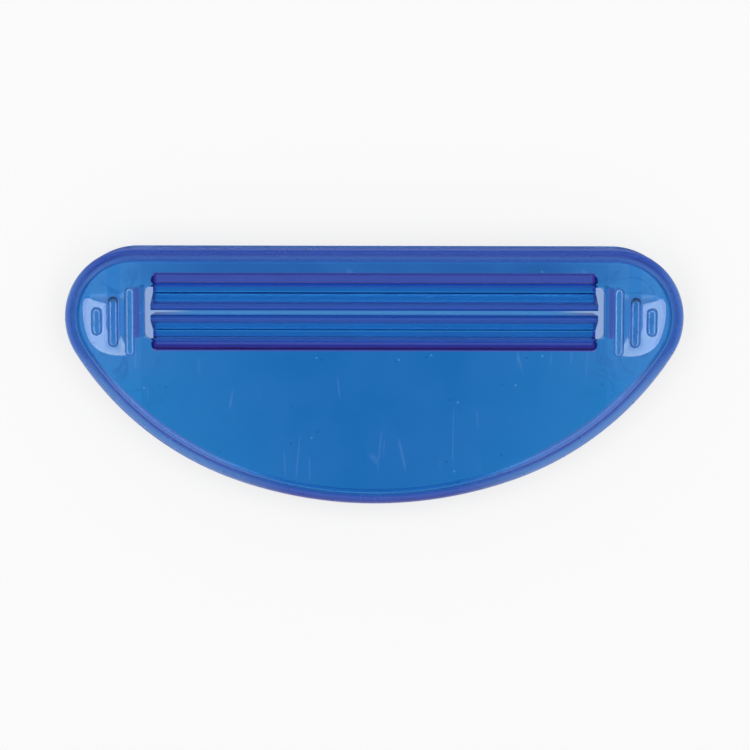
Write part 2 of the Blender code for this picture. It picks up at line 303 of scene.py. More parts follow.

# Skirt and rounded edge: the skirt's own blue, and painted light on its inside and rear rim
SKIRT_BLUE = (0.02, 0.15, 0.55, 1.0)
RIM_INSIDE_PAINTED_LIGHT = (0.75, 0.85, 1.0, 1.0)
OUTWARD_UP = (0.005, 0.05)
RIM_INSIDE_FROM_EDGE = (3.3 * MM, 2.9 * MM)
REAR_RIM_HEIGHT = (1.0 * MM, 0.3 * MM)
ROUNDED_EDGE_HEIGHT = (SKIRT_TOP_Z - 1.0 * MM, SKIRT_TOP_Z)
RIM_REACH = 3.0 * MM
CURVED_RIM_MORE = 0.6 * MM
RIM_INNER_FADE = 0.5 * MM
SIDE_RIM_ACROSS = (0.46 * HEIGHT, 0.32 * HEIGHT)
CURVED_RIM_ACROSS = (0.15 * HEIGHT, -0.10 * HEIGHT)
BOTTOM_RIM_ALONG = (0.30 * WIDTH, 0.12 * WIDTH)
BOTTOM_RIM_ACROSS = (0.0, -0.2 * HEIGHT)

# Haze, damped mirror and waves of the face shell
RIM_HAZE = 0.25
RIM_HAZE_FROM_EDGE = (3.0 * MM, 2.3 * MM)
INSIDE_HAZE_FROM_EDGE = (3.7 * MM, 3.1 * MM)
DISH_HAZE = 0.10
DISH_UP = (0.5, 0.7)
DISH_HEIGHT = (FACE_Z - 0.02 * MM, FACE_Z - 0.20 * MM)
DISH_ALONG = (WINDOW_END + 0.8 * MM, WINDOW_END + 1.2 * MM)
RIM_MATT_FROM_EDGE = (3.2 * MM, 2.6 * MM)
RIB_EDGE_MATT = 0.8
WINDOW_EDGE_UP = (0.98, 0.9)
WINDOW_EDGE_ALONG = (WINDOW_END + 0.6 * MM, WINDOW_END)
MIDDLE_RIB_X = RIB_X + RIB_PITCH
RIB_END_HALF_WIDTH = 1.2 * MM
RIB_END_ACROSS = (RIB_Y + 3.6 * MM, RIB_Y + 3.9 * MM)
WAVES_FROM_EDGE = (3.0 * MM, 5.0 * MM)

# Jaws: valley, walls and underside, with painted light on the outer walls, the flank and underneath, and
# painted violet shade on other steep faces
JAW_BLUE = (0.012, 0.110, 0.41, 1.0)
JAW_CLOUD = (0.0132, 0.121, 0.451, 1.0)
JAW_TOP_PAINTED_LIGHT = (0.9, 0.9, 1.0, 1.0)
JAW_WALL_PAINTED_LIGHT = (0.32, 0.36, 0.75, 1.0)
JAW_PAINTED_SHADE_VIOLET = (0.06, 0.10, 0.40, 1.0)
JAW_BENEATH_PAINTED_LIGHT = (0.50, 0.75, 1.00, 1.0)
JAW_FLANK_PAINTED_LIGHT = (0.007, 0.310, 0.90, 1.0)
JAW_WALL_INSIDE = JAW_REACH - JAW_OUTER_WALL
JAW_TOP_UP = (0.5, 0.9)
JAW_TOP_HEIGHT = (OUTER_WALL_TOP_Z - 1.0 * MM, OUTER_WALL_TOP_Z)
JAW_WALL_FROM_SLOT = (JAW_WALL_INSIDE - 0.3 * MM, JAW_WALL_INSIDE - 0.1 * MM)
JAW_BENEATH_UP = (0.0, -0.1)
JAW_FLANK_UP = (0.02, 0.2)

# Jaws: lips, ends, and the fillet between lip and valley, with painted violet shade on the lips, darker
# painted shade at their edges and on the ends, and painted light in the fillet
LIP_PAINTED_SHADE_VIOLET = (0.040, 0.105, 0.43, 1.0)
LIP_EDGE_PAINTED_SHADE = (0.014, 0.060, 0.40, 1.0)
JAW_TIP_PAINTED_SHADE = (0.016, 0.042, 0.33, 1.0)
JAW_FILLET_PAINTED_LIGHT = (0.050, 0.65, 1.00, 1.0)
LIP_OUT = SLOT_GAP / 2 + JAW_SLOT_WALL
LIP_FROM_SLOT = (LIP_OUT + 0.05 * MM, LIP_OUT - 0.05 * MM)
LIP_MIDDLE_START = SLOT_GAP / 2 + 0.35 * MM
LIP_MIDDLE_END = LIP_OUT - 0.25 * MM
LIP_HAZE = 0.2
LIP_CURVED_UP = (0.999, 0.97)
JAW_TIP_ALONG = (JAW_END - 0.6 * MM, JAW_END - 0.5 * MM)
VALLEY_HEIGHT = (VALLEY_Z + 2 * VALLEY_FILLET, VALLEY_Z + VALLEY_FILLET)
FILLET_START = SLOT_GAP / 2 + LIP_BASE_WIDTH + 0.10 * MM
FILLET_END = SLOT_GAP / 2 + LIP_BASE_WIDTH + 0.34 * MM
FILLET_SOFT_EDGE = 0.08 * MM
FILLET_SHARE = 0.8

# Painted light and shade along the rounded edge, its dark lines, pale fringes and highlights, each with its
# distance inside the outline in millimetres
RIM_SPAN = 4.0 * MM
TOP_RIM_LIGHT_AND_SHADE = (
    (0.2, (0.001, 0.032, 0.60, 1.0)),
    (0.5, (0.002, 0.033, 0.48, 1.0)),
    (0.85, (0.011, 0.040, 0.42, 1.0)),
    (1.1, (0.033, 0.058, 0.44, 1.0)),
    (1.4, (0.017, 0.034, 0.36, 1.0)),
    (1.7, (0.006, 0.023, 0.24, 1.0)),
    (2.1, (0.004, 0.032, 0.28, 1.0)),
    (2.3, (0.006, 0.039, 0.34, 1.0)),
    (2.55, (0.060, 0.175, 0.57, 1.0)),
    (3.0, (0.035, 0.135, 0.46, 1.0)),
)
SIDE_RIM_LIGHT_AND_SHADE = (
    (0.9, (0.060, 0.180, 0.67, 1.0)),
    (1.2, (0.110, 0.155, 0.62, 1.0)),
    (1.5, (0.043, 0.090, 0.44, 1.0)),
    (1.9, (0.018, 0.064, 0.39, 1.0)),
    (2.1, (0.018, 0.060, 0.39, 1.0)),
    (2.26, (0.004, 0.034, 0.33, 1.0)),
    (2.44, (0.002, 0.041, 0.31, 1.0)),
    (2.62, (0.004, 0.068, 0.34, 1.0)),
    (2.85, (0.020, 0.170, 0.48, 1.0)),
    (3.15, (0.014, 0.120, 0.38, 1.0)),
)
CURVED_RIM_LIGHT_AND_SHADE = (
    (0.7, (0.550, 0.520, 0.90, 1.0)),
    (1.1, (0.400, 0.410, 0.74, 1.0)),
    (1.5, (0.290, 0.450, 0.75, 1.0)),
    (1.7, (0.150, 0.265, 0.66, 1.0)),
    (1.9, (0.107, 0.180, 0.61, 1.0)),
    (2.08, (0.026, 0.045, 0.40, 1.0)),
    (2.3, (0.018, 0.036, 0.31, 1.0)),
    (2.5, (0.018, 0.045, 0.31, 1.0)),
    (2.66, (0.062, 0.190, 0.62, 1.0)),
    (2.83, (0.220, 0.480, 0.92, 1.0)),
    (3.0, (0.210, 0.340, 0.80, 1.0)),
    (3.2, (0.120, 0.160, 0.52, 1.0)),
    (3.5, (0.130, 0.130, 0.43, 1.0)),
)
BOTTOM_RIM_LIGHT_AND_SHADE = (
    (0.7, (0.070, 0.037, 0.33, 1.0)),
    (1.0, (0.070, 0.050, 0.29, 1.0)),
    (1.32, (0.096, 0.087, 0.40, 1.0)),
    (1.6, (0.100, 0.098, 0.52, 1.0)),
    (1.75, (0.080, 0.078, 0.45, 1.0)),
    (1.93, (0.006, 0.062, 0.37, 1.0)),
    (2.1, (0.007, 0.066, 0.42, 1.0)),
    (2.3, (0.001, 0.020, 0.24, 1.0)),
    (2.46, (0.001, 0.040, 0.28, 1.0)),
    (2.66, (0.006, 0.129, 0.61, 1.0)),
    (2.84, (0.046, 0.460, 0.98, 1.0)),
    (3.0, (0.080, 0.580, 1.00, 1.0)),
    (3.24, (0.030, 0.300, 0.78, 1.0)),
)


def side_name(side):
    return "right" if side > 0 else "left"


def arc(centre, radius, start, end, steps):
    """Points on an arc, both ends included. Angles are in radians from +X, anticlockwise."""
    points = []
    for k in range(steps + 1):
        angle = start + (end - start) * k / steps
        points.append((centre[0] + radius * math.cos(angle), centre[1] + radius * math.sin(angle)))
    return points


def outline_arcs():
    """Centre, radius and end angles of each tangent arc on the right half: lower, side and corner."""
    down = -math.pi / 2
    lower_turn = math.radians(LOWER_ARC_END_DEGREES)
    side_turn = math.radians(SIDE_ARC_END_DEGREES)
    across = WIDTH / 2 - CORNER_RADIUS
    rise = HEIGHT - 2 * CORNER_RADIUS
    lower_lift, side_lift = 1 - math.cos(lower_turn), 1 - math.cos(side_turn)
    both = math.sin(lower_turn) * side_lift - math.sin(side_turn) * lower_lift
    lower_more = (across * side_lift - rise * math.sin(side_turn)) / both
    side_more = (rise * math.sin(lower_turn) - across * lower_lift) / both
    side_radius = CORNER_RADIUS + side_more
    lower_radius = side_radius + lower_more
    lower = Vector((0.0, lower_radius - HEIGHT / 2))
    side = lower + Vector((math.sin(lower_turn), -math.cos(lower_turn))) * lower_more
    corner = Vector((across, HEIGHT / 2 - CORNER_RADIUS))
    return (
        (lower, lower_radius, down, down + lower_turn),
        (side, side_radius, down + lower_turn, down + side_turn),
        (corner, CORNER_RADIUS, down + side_turn, 0.0),
        (corner, CORNER_RADIUS, 0.0, math.pi / 2),
    )


def outline(inset):
    """The D outline moved inward, anticlockwise from the middle of the lower arc."""
    right = []
    for centre, radius, start, end in outline_arcs():
        steps = max(2, math.ceil(radius * (end - start) / OUTLINE_FACET))
        right += arc(centre, radius - inset, start, end, steps)[:-1]
    top_x, top_y = WIDTH / 2 - CORNER_RADIUS, HEIGHT / 2 - inset
    steps = math.ceil(top_x / OUTLINE_FACET)
    right += [(top_x * (steps - k) / steps, top_y) for k in range(steps)]
    left = [(-x, y) for x, y in reversed(right[1:])]
    return right + [(0.0, top_y)] + left


def stadium(length, width, steps):
    """A slot shape that stands along Y, centred on zero."""
    radius = width / 2
    straight = (length - width) / 2
    upper = arc((0.0, straight), radius, 0.0, math.pi, steps)
    lower = arc((0.0, -straight), radius, math.pi, 2 * math.pi, steps)
    return upper + lower


def rounded_rectangle(length, height, radius, steps):
    """A rectangle with round corners, centred on zero."""
    x, y = length / 2 - radius, height / 2 - radius
    quarter = math.pi / 2
    points = []
    for turn, centre in enumerate(((x, y), (-x, y), (-x, -y), (x, -y))):
        points += arc(centre, radius, turn * quarter, (turn + 1) * quarter, steps)
    return points


def join_rings(mesh, low, high):
    """A band of faces between two rings of equal count."""
    for k in range(len(low)):
        after = (k + 1) % len(low)
        mesh.faces.new((low[k], low[after], high[after], high[k]))


def to_object(name, mesh):
    data = bpy.data.meshes.new(name)
    mesh.to_mesh(data)
    mesh.free()
    obj = bpy.data.objects.new(name, data)
    bpy.context.scene.collection.objects.link(obj)
    return obj


def loft(name, loops):
    """A closed solid through loops of equal count."""
    mesh = bmesh.new()
    rings = [[mesh.verts.new(point) for point in loop] for loop in loops]
    for low, high in zip(rings, rings[1:]):
        join_rings(mesh, low, high)
    mesh.faces.new(list(reversed(rings[0])))
    mesh.faces.new(rings[-1])
    bmesh.ops.recalc_face_normals(mesh, faces=mesh.faces)
    return to_object(name, mesh)


def combine(obj, tools):
    """Applies each tool to the object in turn, then deletes the tools."""
    for tool, operation in tools:
        modifier = obj.modifiers.new(tool.name, "BOOLEAN")
        modifier.object = tool
        modifier.operation = operation
        modifier.solver = "EXACT"
    graph = bpy.context.evaluated_depsgraph_get()
    mesh = bpy.data.meshes.new_from_object(obj.evaluated_get(graph))
    obj.modifiers.clear()
    obj.data = mesh
    for tool, _ in tools:
        bpy.data.objects.remove(tool, do_unlink=True)


def smooth(obj):
    """Round faces shade smooth, and large flat faces keep their own direction."""
    obj.data.shade_smooth()
    obj.data.set_sharp_from_angle(angle=math.radians(SHARP_DEGREES))
    weighted = obj.modifiers.new("face_weighted", "WEIGHTED_NORMAL")
    weighted.keep_sharp = True
    weighted.weight = FLAT_FACE_WEIGHT


def shell_section():
    """Inset and height up the outside of the skirt, over the edge, and back down the inside."""
    outside = arc((RIM_ROUND, RIM_ROUND), RIM_ROUND, 1.5 * math.pi, math.pi, FILLET_STEPS)
    centre = (SKIRT_DRAFT + EDGE_RADIUS, FACE_Z - EDGE_RADIUS)
    outside += arc(centre, EDGE_RADIUS, math.pi, math.pi / 2, EDGE_STEPS)
    root = (SKIRT_DRAFT + SKIRT_WALL + INNER_FILLET, CEILING_Z - INNER_FILLET)
    inside = arc(root, INNER_FILLET, math.pi / 2, math.pi, FILLET_STEPS)
    inside += arc((SKIRT_WALL - RIM_ROUND, RIM_ROUND), RIM_ROUND, 0.0, -math.pi / 2, FILLET_STEPS)
    return outside, inside


def shell_blank():
    """The D shaped cup: face, round edge and skirt, open at the rear."""
    outside, inside = shell_section()
    mesh = bmesh.new()

    def ring(inset, height):
        return [mesh.verts.new((x, y, height)) for x, y in outline(inset)]

    rings = [ring(inset, height) for inset, height in outside + inside]
    face_ring, ceiling_ring = len(outside) - 1, len(outside)
    for index, low in enumerate(rings):
        if index == face_ring:
            continue
        join_rings(mesh, low, rings[(index + 1) % len(rings)])
    mesh.faces.new(rings[face_ring])
    mesh.faces.new(rings[ceiling_ring])
    bmesh.ops.recalc_face_normals(mesh, faces=mesh.faces)
    return to_object("face_shell_body", mesh)


def window_cutter():
    """Cuts the window through the face, with a small lead round its front edge."""
    sections = (
        (0.0, CEILING_Z - OVERRUN),
        (0.0, FACE_Z - WINDOW_LEAD),
        (WINDOW_LEAD, FACE_Z),
        (WINDOW_LEAD, FACE_Z + OVERRUN),
    )
    loops = []
    for grow, height in sections:
        length, height_across = 2 * (WINDOW_END + grow), 2 * (WINDOW_HALF_HEIGHT + grow)
        shape = rounded_rectangle(length, height_across, WINDOW_CORNER + grow, ROUND_STEPS)
        loops.append([(x, y + SLOT_Y, height) for x, y in shape])
    return loft("window_cutter", loops)


def dish_reach(angle):
    """Distance from a thumb rest's centre to its rim, on the right: a rounded five-sided shape."""
    corner = -math.radians(DISH_CORNER_DEGREES)
    sides = (
        (0.0, DISH_TO_OUTER_SIDE),
        (math.pi / 2, DISH_TO_UPPER_SIDE),
        (math.pi, DISH_TO_WINDOW_SIDE),
        (-math.pi / 2, DISH_TO_LOWER_SIDE),
        (corner, DISH_TO_CORNER_SIDE),
    )
    closeness = 0.0
    for direction, distance in sides:
        closeness += (max(math.cos(angle - direction), 0.0) / distance) ** DISH_SQUARENESS
    return closeness ** (-1 / DISH_SQUARENESS)


def dish_rings(side, level):
    """Loops of a thumb rest's hollow, from its keel, the lowest line, out to its rim at a level."""
    centre = side * DISH_CENTRE
    loops = []
    for ring in range(1, DISH_RINGS + 1):
        share = ring / DISH_RINGS
        bowl = (1 + math.cos(math.pi * share)) / 2
        sink = DISH_DEPTH * (DISH_CONE_SHARE * (1 - share) + (1 - DISH_CONE_SHARE) * bowl)
        loop = []
        for k in range(DISH_SPOKES):
            angle = 2 * math.pi * k / DISH_SPOKES
            reach = dish_reach(angle)
            rim = reach * math.sin(angle)
            keel = min(max(rim, -DISH_KEEL_BELOW), DISH_KEEL_ABOVE)
            x = centre + side * share * reach * math.cos(angle)
            loop.append((x, RIB_Y + keel + share * (rim - keel), level - sink))
        loops.append(loop)
    return loops


def dish_backing(side):
    """The bulge behind a thumb rest, which keeps the wall even there."""
    loops = dish_rings(side, FACE_Z - DISH_WALL)
    loops.append([(x, y, RIB_ROOT_Z) for x, y, z in loops[-1]])
    return loft("dish_backing_" + side_name(side), loops)


def dish_cutter(side):
    """Hollows a thumb rest out of the face."""
    loops = dish_rings(side, FACE_Z)
    loops.append([(x, y, FACE_Z + OVERRUN) for x, y, z in loops[-1]])
    return loft("dish_cutter_" + side_name(side), loops)


def grip_rib(side, index):
    """One raised rib with round ends and a round top."""
    x_middle = side * (RIB_X + index * RIB_PITCH)
    length = RIB_LENGTHS[index]
    top = FACE_Z + RIB_PROUD
    levels = [(0.0, RIB_ROOT_Z)]
    levels += arc((RIB_ROUND, top - RIB_ROUND), RIB_ROUND, math.pi, math.pi / 2, ROUND_STEPS)
    loops = []
    for inset, height in levels:
        shape = stadium(length - 2 * inset, RIB_WIDTH - 2 * inset, 2 * ROUND_STEPS)
        loops.append([(x + x_middle, y + RIB_Y, height) for x, y in shape])
    return loft("rib_" + side_name(side) + "_" + str(index + 1), loops)


def end_return(side):
    """The wall that runs back from the face, a little outside the short end of the window."""
    middle = side * (WINDOW_END + END_RETURN_SETBACK + END_RETURN_WALL / 2)
    corner = END_RETURN_WALL / 2 - RIM_ROUND
    shape = rounded_rectangle(END_RETURN_WALL, 2 * WINDOW_HALF_HEIGHT, corner, ROUND_STEPS)
    heights = (END_RETURN_LIFT, CEILING_Z + FACE_THICKNESS / 2)
    loops = [[(x + middle, y + SLOT_Y, height) for x, y in shape] for height in heights]
    return loft("end_return_" + side_name(side), loops)


def make_face_shell(material):
    """The cup with its thumb rests, grip ribs, end walls and window."""
    shell = shell_blank()
    tools = []
    for side in (-1, 1):
        tools.append((dish_backing(side), "UNION"))
        tools.append((dish_cutter(side), "DIFFERENCE"))
        tools.append((end_return(side), "UNION"))
        for index in range(len(RIB_LENGTHS)):
            tools.append((grip_rib(side, index), "UNION"))
    tools.append((window_cutter(), "DIFFERENCE"))
    combine(shell, tools)
    smooth(shell)
    dress(shell, material, "face_shell")


def jaw_section():
    """Reach from the slot's middle and height, once round the section of a jaw."""
    slot = SLOT_GAP / 2
    wall_in = JAW_REACH - JAW_OUTER_WALL
    crest_radius = LIP_CREST_WIDTH / 2
    lip_out = slot + LIP_BASE_WIDTH
    hollow_in = slot + JAW_SLOT_WALL
    hollow_top = VALLEY_Z - JAW_WEB
    corner = JAW_HOLLOW_FILLET
    quarter = math.pi / 2
    valley_outer = (wall_in - VALLEY_FILLET, VALLEY_Z + VALLEY_FILLET)
    valley_inner = (lip_out + VALLEY_FILLET, VALLEY_Z + VALLEY_FILLET)
    points = [(slot, JAW_LIFT), (hollow_in, JAW_LIFT)]
    points += arc((hollow_in + corner, hollow_top - corner), corner, math.pi, quarter, ROUND_STEPS)
    points += arc((wall_in - corner, hollow_top - corner), corner, quarter, 0.0, ROUND_STEPS)
    points += [(wall_in, JAW_LIFT)]
    heel = (JAW_REACH - HEEL_ROUND, JAW_LIFT + HEEL_ROUND)
    points += arc(heel, HEEL_ROUND, -quarter, 0.0, ROUND_STEPS)
    points += [(JAW_REACH, OUTER_WALL_TOP_Z), (wall_in, OUTER_WALL_TOP_Z)]
    points += arc(valley_outer, VALLEY_FILLET, 0.0, -quarter, ROUND_STEPS)
    points += arc(valley_inner, VALLEY_FILLET, 3 * quarter, math.pi, ROUND_STEPS)
    crest = (slot + crest_radius, LIP_CREST_Z - crest_radius)
    points += arc(crest, crest_radius, 0.0, math.pi, 2 * ROUND_STEPS)
    return points


def outer_corners(mesh, side):
    """The upright edges at the two outer corners of a jaw's bar."""
    outer = SLOT_Y + side * JAW_REACH
    corners = []
    for edge in mesh.edges:
        ends = [vertex.co for vertex in edge.verts]
        on_end = all(abs(abs(end.x) - JAW_END) < TINY for end in ends)
        if on_end and all(abs(end.y - outer) < TINY for end in ends):
            corners.append(edge)
    return corners


def make_jaw(name, side, material):
    """A bar with a valley along it, whose inner lip is one side of the slot."""
    section = [(SLOT_Y + side * reach, height) for reach, height in jaw_section()]
    stations = [JAW_END * (2 * k / JAW_STATIONS - 1) for k in range(JAW_STATIONS + 1)]
    jaw = loft(name + "_bar", [[(x, y, z) for y, z in section] for x in stations])
    mesh = bmesh.new()
    mesh.from_mesh(jaw.data)
    corners = outer_corners(mesh, side)
    bmesh.ops.bevel(
        mesh, geom=corners, offset=JAW_CORNER, segments=ROUND_STEPS, profile=0.5, affect="EDGES"
    )
    bmesh.ops.recalc_face_normals(mesh, faces=mesh.faces)
    mesh.to_mesh(jaw.data)
    mesh.free()
    smooth(jaw)
    dress(jaw, material, name)


def dress(piece, material, node):
    """Gives a piece its finish and lets it stand for its solid."""
    piece.data.materials.clear()
    piece.data.materials.append(material)
    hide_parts(node)
    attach(piece, "root")


class Nodes:
    """A short way to write a node tree. A share runs from zero to one."""

    def __init__(self, tree):
        self.tree = tree
        tree.nodes.clear()

    def add(self, kind, inputs=None, **settings):
        node = self.tree.nodes.new(kind)
        for name, value in settings.items():
            setattr(node, name, value)
        for name, value in (inputs or {}).items():
            self.feed(node.inputs[name], value)
        return node

    def feed(self, socket, value):
        """Links a socket to another one, or sets it to a plain value."""
        if isinstance(value, bpy.types.NodeSocket):
            self.tree.links.new(value, socket)
        else:
            socket.default_value = value

    def math(self, operation, first, second=0.0, clamp=False):
        node = self.add("ShaderNodeMath", {0: first, 1: second}, operation=operation)
        node.use_clamp = clamp
        return node.outputs[0]

    def times(self, first, *others):
        """The product of the given values. Of shares, it is full only where all of them are."""
        for other in others:
            first = self.math("MULTIPLY", first, other)
        return first

    def either(self, first, *others):
        """The largest of the given values."""
        for other in others:
            first = self.math("MAXIMUM", first, other)
        return first

    def without(self, first, other):
        """A share with another one taken out of it."""
        return self.math("SUBTRACT", first, other, clamp=True)

    def fade(self, value, nothing, full):
        """A share of zero where a value is at the first limit, and one at the second, with soft turns."""
        inputs = {"Value": value, "From Min": nothing, "From Max": full}
        return self.add("ShaderNodeMapRange", inputs, interpolation_type="SMOOTHSTEP").outputs[0]

    def between(self, value, low, high, soft):
        """One where a value lies between two limits, zero outside, with a soft edge."""
        rise = self.fade(value, low - soft, low + soft)
        fall = self.fade(value, high + soft, high - soft)
        return self.times(rise, fall)

    def bands(self, value, stops):
        """Colours at given values of a length, blended between them."""
        node = self.add("ShaderNodeValToRGB", {"Fac": self.math("MULTIPLY", value, 1 / RIM_SPAN)})
        ramp = node.color_ramp
        while len(ramp.elements) < len(stops):
            ramp.elements.new(1.0)
        for element, (place, colour) in zip(ramp.elements, stops):
            element.position = place * MM / RIM_SPAN
            element.color = colour
        return node.outputs["Color"]

    def mix(self, factor, first, second):
        node = self.add("ShaderNodeMix", data_type="RGBA")
        sockets = [socket for socket in node.inputs if socket.enabled]
        for socket, value in zip(sockets, (factor, first, second)):
            self.feed(socket, value)
        return [socket for socket in node.outputs if socket.enabled][0]


class Surface(Nodes):
    """The nodes of a new material, with the place and direction of the point that they colour."""

    def __init__(self, name):
        self.material = bpy.data.materials.new(name)
        self.material.use_nodes = True
        super().__init__(self.material.node_tree)
        point = self.add("ShaderNodeTexCoord").outputs
        place = self.add("ShaderNodeSeparateXYZ", {"Vector": point["Object"]}).outputs
        direction = self.add("ShaderNodeSeparateXYZ", {"Vector": point["Normal"]}).outputs
        self.where = point["Object"]
        self.along = self.math("ABSOLUTE", place["X"])
        self.across = place["Y"]
        self.height = place["Z"]
        self.from_slot = self.math("ABSOLUTE", self.math("SUBTRACT", place["Y"], SLOT_Y))
        self.up = direction["Z"]
        self.up_or_down = self.math("ABSOLUTE", direction["Z"])

    def noise(self, scale, detail, distortion=0.0):
        inputs = {"Vector": self.where, "Scale": scale, "Detail": detail, "Distortion": distortion}
        return self.add("ShaderNodeTexNoise", inputs).outputs["Fac"]

    def cells(self, vector, scale, feature):
        """What a flat pattern of cells, seen from above, gives at each point."""
        inputs = {"Vector": vector, "Scale": scale}
        node = self.add("ShaderNodeTexVoronoi", inputs, feature=feature, voronoi_dimensions="2D")
        return node.outputs


def moulded_surface(nodes, wavy):
    """Roughness and normal of a polished moulding: a faint haze, and slow waves where wavy is one."""
    haze = nodes.noise(GLOSS_SCALE, GLOSS_DETAIL)
    limits = {"Value": haze, "To Min": LEAST_ROUGHNESS, "To Max": MOST_ROUGHNESS}
    gloss = nodes.add("ShaderNodeMapRange", limits).outputs[0]
    waves = nodes.times(nodes.noise(WAVE_SCALE, WAVE_DETAIL), wavy)
    relief = {"Height": waves, "Strength": WAVE_STRENGTH, "Distance": WAVE_HEIGHT}
    bump = nodes.add("ShaderNodeBump", relief)
    return gloss, bump.outputs["Normal"]


def plastic_shader(nodes, colour, haze, matt, wavy):
    """Clear plastic. Matt damps its mirror, except on a level surface seen at a low angle."""
    facing = nodes.add("ShaderNodeLayerWeight", {"Blend": LAYER_BLEND}).outputs["Facing"]
    mirrors = nodes.times(nodes.fade(facing, *LOW_ANGLE), nodes.fade(nodes.up_or_down, *LEVEL_UP))
    gloss, normal = moulded_surface(nodes, wavy)
    shader = nodes.add("ShaderNodeBsdfPrincipled", {
        "Base Color": colour,
        "Roughness": nodes.math("ADD", gloss, haze),
        "IOR": REFRACTIVE_INDEX,
        "Specular Tint": nodes.mix(nodes.without(matt, mirrors), WHITE, DAMPED_MIRROR),
        "Transmission Weight": 1.0,
        "Normal": normal,
    })
    nodes.add("ShaderNodeOutputMaterial", {"Surface": shader.outputs["BSDF"]})


def edge_distance(nodes):
    """How far inside the D outline a point lies, seen from above."""
    lower, side, corner = outline_arcs()[:3]
    corner_x, corner_y = corner[0]

    def offset(centre):
        x = nodes.math("SUBTRACT", nodes.along, centre[0])
        y = nodes.math("SUBTRACT", nodes.across, centre[1])
        return x, y

    def inside(centre, radius):
        x, y = offset(centre)
        squares = nodes.math("ADD", nodes.math("MULTIPLY", x, x), nodes.math("MULTIPLY", y, y))
        return nodes.math("SUBTRACT", radius, nodes.math("SQRT", squares))

    def beyond(centre, angle):
        """One where a point lies past the line from an arc's centre to its end."""
        x, y = offset(centre)
        rise = nodes.math("MULTIPLY", y, math.cos(angle))
        run = nodes.math("MULTIPLY", x, math.sin(angle))
        return nodes.fade(nodes.math("SUBTRACT", rise, run), -TINY, TINY)

    def choose(share, first, second):
        step = nodes.math("MULTIPLY", share, nodes.math("SUBTRACT", second, first))
        return nodes.math("ADD", first, step)

    distance = choose(beyond(side[0], side[3]), inside(side[0], side[1]), inside(corner[0], corner[1]))
    distance = choose(beyond(lower[0], lower[3]), inside(lower[0], lower[1]), distance)
    on_top = nodes.times(
        nodes.fade(nodes.along, corner_x + TINY, corner_x - TINY),
        nodes.fade(nodes.across, corner_y - TINY, corner_y + TINY),
    )
    return choose(on_top, distance, nodes.math("SUBTRACT", HEIGHT / 2, nodes.across))


def face_tones(nodes):
    """The level face: paler towards the ends, deeper along the straight edge, and faintly clouded."""
    outward = nodes.math("SUBTRACT", nodes.along, nodes.math("MULTIPLY", nodes.across, FACE_SIDE_SLANT))
    blue = nodes.mix(nodes.fade(outward, *FACE_SIDE_OUTWARD), FACE_BLUE, FACE_SIDE_BLUE)
    blue = nodes.mix(nodes.fade(nodes.across, *FACE_TOP_ACROSS), blue, FACE_TOP_BLUE)
    end = nodes.times(nodes.fade(nodes.along, *FACE_END_ALONG), nodes.fade(nodes.across, *FACE_END_ACROSS))
    blue = nodes.mix(end, blue, FACE_END_BLUE)
    cloud = nodes.fade(nodes.noise(FACE_CLOUD_SCALE, CLOUD_DETAIL), *CLOUD_FADE)
    return nodes.mix(nodes.times(cloud, FACE_CLOUD_SHARE), blue, FACE_CLOUD)


def painted_sink_shade_lines(nodes, blue, level):
    """Painted shade: faint deeper lines near the ends, where slight sinks in the face bend the light."""
    swirl = nodes.noise(WISP_SCALE, WISP_DETAIL, WISP_DISTORTION)
    ridge = nodes.math("ABSOLUTE", nodes.math("SUBTRACT", swirl, WISP_MIDDLE))
    shade_line = nodes.times(nodes.fade(ridge, *WISP_RIDGE), nodes.fade(nodes.along, *WISP_ALONG))
    return nodes.mix(nodes.times(shade_line, level, WISP_SHARE), blue, SINK_SHADE_BLUE)


def hair_scratches(nodes, blue, level):
    """Fine pale scratches: here and there, a piece of the border between long cells."""
    for turn, scale, width in SCRATCHES:
        inputs = {"Vector": nodes.where, "Rotation": (0.0, 0.0, turn), "Scale": SCRATCH_STRETCH}
        turned = nodes.add("ShaderNodeMapping", inputs).outputs[0]
        border = nodes.cells(turned, scale, "DISTANCE_TO_EDGE")["Distance"]
        hair = nodes.fade(border, width, SCRATCH_CORE * width)
        some = nodes.fade(nodes.noise(scale, SCRATCH_DETAIL), *SCRATCH_CHANCE)
        share = nodes.times(hair, some, nodes.times(level, MARK_SHARE))
        blue = nodes.mix(share, blue, SCRATCH_PALE)
    return blue


def specks(nodes, blue, level):
    """Small round specks in some of the cells, which are picked by their own random colour."""
    for scale, size, bare, tone in SPECKS:
        dots = nodes.cells(nodes.where, scale, "F1")
        pick = nodes.add("ShaderNodeSeparateXYZ", {"Vector": dots["Color"]}).outputs["X"]
        near = nodes.fade(dots["Distance"], size, SPECK_CORE * size)
        speck = nodes.times(near, nodes.fade(pick, bare, bare + SPECK_STEP))
        blue = nodes.mix(nodes.times(speck, nodes.times(level, MARK_SHARE)), blue, tone)
    return blue


def marks(nodes, blue, edge):
    """Painted shade lines where slight sinks bend the light, and what moulding and use leave on the level
    face.
    """
    level = nodes.times(
        nodes.fade(nodes.up, *MARK_UP),
        nodes.fade(nodes.height, *MARK_HEIGHT),
        nodes.fade(edge, *MARK_FROM_EDGE),
    )
    blue = painted_sink_shade_lines(nodes, blue, level)
    blue = hair_scratches(nodes, blue, level)
    return specks(nodes, blue, level)


